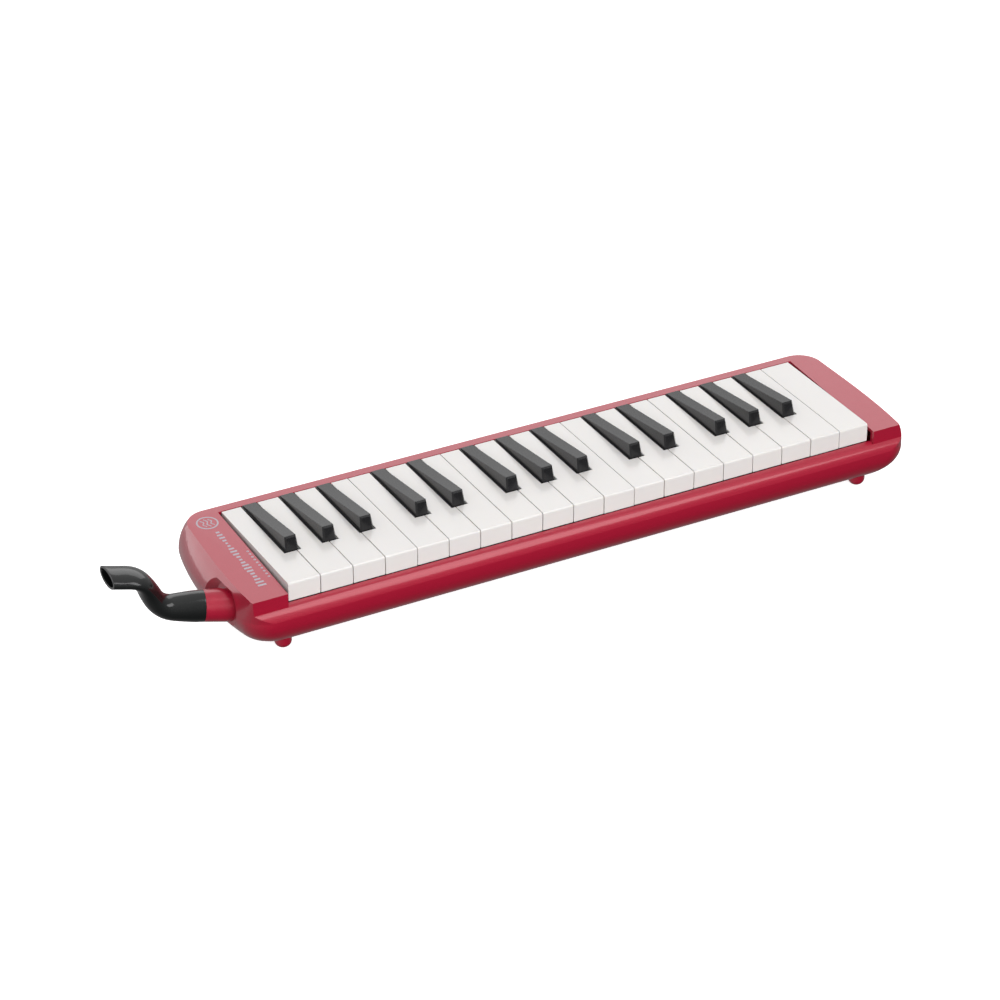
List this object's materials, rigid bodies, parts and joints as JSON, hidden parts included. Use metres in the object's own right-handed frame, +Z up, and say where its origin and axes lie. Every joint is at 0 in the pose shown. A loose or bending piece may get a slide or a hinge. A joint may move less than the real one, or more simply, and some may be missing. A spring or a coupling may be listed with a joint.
{
  "type": "melodica",
  "caption": "Free-reed wind instrument blown through a short curved mouthpiece and played on a small keyboard set in a slim glossy case on four peg feet.",
  "frame": {"origin": "on the surface that the feet stand on, under the middle of the case (the mouthpiece is left out of the middle)", "axes": "+X along the keyboard from bass to treble, +Y from the player's side to the back, +Z up"},
  "size_m": [0.502, 0.1072, 0.0585],
  "materials": {
    "red_case": "gloss cherry red with a slight metallic depth",
    "white_keys": "gloss, slightly warm white",
    "black_keys": "gloss black",
    "black_plastic": "gloss black moulded plastic",
    "grey_plastic": "matt dark grey moulded plastic",
    "steel": "satin",
    "brass": "satin",
    "reed_metal": "satin",
    "felt": "pressed wool felt",
    "rubber": "soft matt",
    "strap": "grained black leatherette"
  },
  "bodies": {
    "case": {"upper_case": "red_case", "lower_case": "red_case", "feet": "red_case", "blow_socket": "red_case", "pivot_comb": "grey_plastic", "reed_block": "grey_plastic", "wind_chest": "grey_plastic", "key_pivot_rod": "steel", "key_spring_comb": "steel", "case_screws": "steel", "strap_screws": "steel", "reed_plate_screws": "steel", "spit_valve_spring": "steel", "reed_plate_bass": "brass", "reed_plate_treble": "brass", "reeds": "reed_metal", "reed_rivets": "brass", "key_stop_felt": "felt", "wind_chest_gasket": "rubber", "socket_grommet": "rubber", "hand_strap": "strap", "strap_anchors": "grey_plastic"},
    "key_f3": {"white_key_f3": "white_keys"},
    "key_fs3": {"black_key_fs3": "black_keys"},
    "key_g3": {"white_key_g3": "white_keys"},
    "key_gs3": {"black_key_gs3": "black_keys"},
    "key_a3": {"white_key_a3": "white_keys"},
    "key_as3": {"black_key_as3": "black_keys"},
    "key_b3": {"white_key_b3": "white_keys"},
    "key_c4": {"white_key_c4": "white_keys"},
    "key_cs4": {"black_key_cs4": "black_keys"},
    "key_d4": {"white_key_d4": "white_keys"},
    "key_ds4": {"black_key_ds4": "black_keys"},
    "key_e4": {"white_key_e4": "white_keys"},
    "key_f4": {"white_key_f4": "white_keys"},
    "key_fs4": {"black_key_fs4": "black_keys"},
    "key_g4": {"white_key_g4": "white_keys"},
    "key_gs4": {"black_key_gs4": "black_keys"},
    "key_a4": {"white_key_a4": "white_keys"},
    "key_as4": {"black_key_as4": "black_keys"},
    "key_b4": {"white_key_b4": "white_keys"},
    "key_c5": {"white_key_c5": "white_keys"},
    "key_cs5": {"black_key_cs5": "black_keys"},
    "key_d5": {"white_key_d5": "white_keys"},
    "key_ds5": {"black_key_ds5": "black_keys"},
    "key_e5": {"white_key_e5": "white_keys"},
    "key_f5": {"white_key_f5": "white_keys"},
    "key_fs5": {"black_key_fs5": "black_keys"},
    "key_g5": {"white_key_g5": "white_keys"},
    "key_gs5": {"black_key_gs5": "black_keys"},
    "key_a5": {"white_key_a5": "white_keys"},
    "key_as5": {"black_key_as5": "black_keys"},
    "key_b5": {"white_key_b5": "white_keys"},
    "key_c6": {"white_key_c6": "white_keys"},
    "spit_valve": {"spit_valve_button": "black_plastic", "spit_valve_seal": "rubber"},
    "mouthpiece": {"mouthpiece": "black_plastic"}
  },
  "joints": [
    {"name": "press_f3", "type": "hinge", "parent": "case", "child": "key_f3", "pos_m": [0, 0.046, 0.037], "axis": [1, 0, 0], "range_deg": [0, 3], "stiffness_Nm_per_rad": 0.2, "springref_deg": -11.46, "deforming": ["key_spring_comb"]},
    {"name": "press_fs3", "type": "hinge", "parent": "case", "child": "key_fs3", "pos_m": [0, 0.046, 0.037], "axis": [1, 0, 0], "range_deg": [0, 3], "stiffness_Nm_per_rad": 0.2, "springref_deg": -11.46, "deforming": ["key_spring_comb"]},
    {"name": "press_g3", "type": "hinge", "parent": "case", "child": "key_g3", "pos_m": [0, 0.046, 0.037], "axis": [1, 0, 0], "range_deg": [0, 3], "stiffness_Nm_per_rad": 0.2, "springref_deg": -11.46, "deforming": ["key_spring_comb"]},
    {"name": "press_gs3", "type": "hinge", "parent": "case", "child": "key_gs3", "pos_m": [0, 0.046, 0.037], "axis": [1, 0, 0], "range_deg": [0, 3], "stiffness_Nm_per_rad": 0.2, "springref_deg": -11.46, "deforming": ["key_spring_comb"]},
    {"name": "press_a3", "type": "hinge", "parent": "case", "child": "key_a3", "pos_m": [0, 0.046, 0.037], "axis": [1, 0, 0], "range_deg": [0, 3], "stiffness_Nm_per_rad": 0.2, "springref_deg": -11.46, "deforming": ["key_spring_comb"]},
    {"name": "press_as3", "type": "hinge", "parent": "case", "child": "key_as3", "pos_m": [0, 0.046, 0.037], "axis": [1, 0, 0], "range_deg": [0, 3], "stiffness_Nm_per_rad": 0.2, "springref_deg": -11.46, "deforming": ["key_spring_comb"]},
    {"name": "press_b3", "type": "hinge", "parent": "case", "child": "key_b3", "pos_m": [0, 0.046, 0.037], "axis": [1, 0, 0], "range_deg": [0, 3], "stiffness_Nm_per_rad": 0.2, "springref_deg": -11.46, "deforming": ["key_spring_comb"]},
    {"name": "press_c4", "type": "hinge", "parent": "case", "child": "key_c4", "pos_m": [0, 0.046, 0.037], "axis": [1, 0, 0], "range_deg": [0, 3], "stiffness_Nm_per_rad": 0.2, "springref_deg": -11.46, "deforming": ["key_spring_comb"]},
    {"name": "press_cs4", "type": "hinge", "parent": "case", "child": "key_cs4", "pos_m": [0, 0.046, 0.037], "axis": [1, 0, 0], "range_deg": [0, 3], "stiffness_Nm_per_rad": 0.2, "springref_deg": -11.46, "deforming": ["key_spring_comb"]},
    {"name": "press_d4", "type": "hinge", "parent": "case", "child": "key_d4", "pos_m": [0, 0.046, 0.037], "axis": [1, 0, 0], "range_deg": [0, 3], "stiffness_Nm_per_rad": 0.2, "springref_deg": -11.46, "deforming": ["key_spring_comb"]},
    {"name": "press_ds4", "type": "hinge", "parent": "case", "child": "key_ds4", "pos_m": [0, 0.046, 0.037], "axis": [1, 0, 0], "range_deg": [0, 3], "stiffness_Nm_per_rad": 0.2, "springref_deg": -11.46, "deforming": ["key_spring_comb"]},
    {"name": "press_e4", "type": "hinge", "parent": "case", "child": "key_e4", "pos_m": [0, 0.046, 0.037], "axis": [1, 0, 0], "range_deg": [0, 3], "stiffness_Nm_per_rad": 0.2, "springref_deg": -11.46, "deforming": ["key_spring_comb"]},
    {"name": "press_f4", "type": "hinge", "parent": "case", "child": "key_f4", "pos_m": [0, 0.046, 0.037], "axis": [1, 0, 0], "range_deg": [0, 3], "stiffness_Nm_per_rad": 0.2, "springref_deg": -11.46, "deforming": ["key_spring_comb"]},
    {"name": "press_fs4", "type": "hinge", "parent": "case", "child": "key_fs4", "pos_m": [0, 0.046, 0.037], "axis": [1, 0, 0], "range_deg": [0, 3], "stiffness_Nm_per_rad": 0.2, "springref_deg": -11.46, "deforming": ["key_spring_comb"]},
    {"name": "press_g4", "type": "hinge", "parent": "case", "child": "key_g4", "pos_m": [0, 0.046, 0.037], "axis": [1, 0, 0], "range_deg": [0, 3], "stiffness_Nm_per_rad": 0.2, "springref_deg": -11.46, "deforming": ["key_spring_comb"]},
    {"name": "press_gs4", "type": "hinge", "parent": "case", "child": "key_gs4", "pos_m": [0, 0.046, 0.037], "axis": [1, 0, 0], "range_deg": [0, 3], "stiffness_Nm_per_rad": 0.2, "springref_deg": -11.46, "deforming": ["key_spring_comb"]},
    {"name": "press_a4", "type": "hinge", "parent": "case", "child": "key_a4", "pos_m": [0, 0.046, 0.037], "axis": [1, 0, 0], "range_deg": [0, 3], "stiffness_Nm_per_rad": 0.2, "springref_deg": -11.46, "deforming": ["key_spring_comb"]},
    {"name": "press_as4", "type": "hinge", "parent": "case", "child": "key_as4", "pos_m": [0, 0.046, 0.037], "axis": [1, 0, 0], "range_deg": [0, 3], "stiffness_Nm_per_rad": 0.2, "springref_deg": -11.46, "deforming": ["key_spring_comb"]},
    {"name": "press_b4", "type": "hinge", "parent": "case", "child": "key_b4", "pos_m": [0, 0.046, 0.037], "axis": [1, 0, 0], "range_deg": [0, 3], "stiffness_Nm_per_rad": 0.2, "springref_deg": -11.46, "deforming": ["key_spring_comb"]},
    {"name": "press_c5", "type": "hinge", "parent": "case", "child": "key_c5", "pos_m": [0, 0.046, 0.037], "axis": [1, 0, 0], "range_deg": [0, 3], "stiffness_Nm_per_rad": 0.2, "springref_deg": -11.46, "deforming": ["key_spring_comb"]},
    {"name": "press_cs5", "type": "hinge", "parent": "case", "child": "key_cs5", "pos_m": [0, 0.046, 0.037], "axis": [1, 0, 0], "range_deg": [0, 3], "stiffness_Nm_per_rad": 0.2, "springref_deg": -11.46, "deforming": ["key_spring_comb"]},
    {"name": "press_d5", "type": "hinge", "parent": "case", "child": "key_d5", "pos_m": [0, 0.046, 0.037], "axis": [1, 0, 0], "range_deg": [0, 3], "stiffness_Nm_per_rad": 0.2, "springref_deg": -11.46, "deforming": ["key_spring_comb"]},
    {"name": "press_ds5", "type": "hinge", "parent": "case", "child": "key_ds5", "pos_m": [0, 0.046, 0.037], "axis": [1, 0, 0], "range_deg": [0, 3], "stiffness_Nm_per_rad": 0.2, "springref_deg": -11.46, "deforming": ["key_spring_comb"]},
    {"name": "press_e5", "type": "hinge", "parent": "case", "child": "key_e5", "pos_m": [0, 0.046, 0.037], "axis": [1, 0, 0], "range_deg": [0, 3], "stiffness_Nm_per_rad": 0.2, "springref_deg": -11.46, "deforming": ["key_spring_comb"]},
    {"name": "press_f5", "type": "hinge", "parent": "case", "child": "key_f5", "pos_m": [0, 0.046, 0.037], "axis": [1, 0, 0], "range_deg": [0, 3], "stiffness_Nm_per_rad": 0.2, "springref_deg": -11.46, "deforming": ["key_spring_comb"]},
    {"name": "press_fs5", "type": "hinge", "parent": "case", "child": "key_fs5", "pos_m": [0, 0.046, 0.037], "axis": [1, 0, 0], "range_deg": [0, 3], "stiffness_Nm_per_rad": 0.2, "springref_deg": -11.46, "deforming": ["key_spring_comb"]},
    {"name": "press_g5", "type": "hinge", "parent": "case", "child": "key_g5", "pos_m": [0, 0.046, 0.037], "axis": [1, 0, 0], "range_deg": [0, 3], "stiffness_Nm_per_rad": 0.2, "springref_deg": -11.46, "deforming": ["key_spring_comb"]},
    {"name": "press_gs5", "type": "hinge", "parent": "case", "child": "key_gs5", "pos_m": [0, 0.046, 0.037], "axis": [1, 0, 0], "range_deg": [0, 3], "stiffness_Nm_per_rad": 0.2, "springref_deg": -11.46, "deforming": ["key_spring_comb"]},
    {"name": "press_a5", "type": "hinge", "parent": "case", "child": "key_a5", "pos_m": [0, 0.046, 0.037], "axis": [1, 0, 0], "range_deg": [0, 3], "stiffness_Nm_per_rad": 0.2, "springref_deg": -11.46, "deforming": ["key_spring_comb"]},
    {"name": "press_as5", "type": "hinge", "parent": "case", "child": "key_as5", "pos_m": [0, 0.046, 0.037], "axis": [1, 0, 0], "range_deg": [0, 3], "stiffness_Nm_per_rad": 0.2, "springref_deg": -11.46, "deforming": ["key_spring_comb"]},
    {"name": "press_b5", "type": "hinge", "parent": "case", "child": "key_b5", "pos_m": [0, 0.046, 0.037], "axis": [1, 0, 0], "range_deg": [0, 3], "stiffness_Nm_per_rad": 0.2, "springref_deg": -11.46, "deforming": ["key_spring_comb"]},
    {"name": "press_c6", "type": "hinge", "parent": "case", "child": "key_c6", "pos_m": [0, 0.046, 0.037], "axis": [1, 0, 0], "range_deg": [0, 3], "stiffness_Nm_per_rad": 0.2, "springref_deg": -11.46, "deforming": ["key_spring_comb"]},
    {"name": "spit_valve_press", "type": "slide", "parent": "case", "child": "spit_valve", "axis": [-1, 0, 0], "range_m": [0, 0.002], "stiffness_N_per_m": 400, "springref_m": -0.003, "deforming": ["spit_valve_spring"]},
    {"name": "mouthpiece_pull", "type": "slide", "parent": "case", "child": "mouthpiece", "axis": [-0.9717, 0.2065, 0.1149], "range_m": [0, 0.018]}
  ]
}
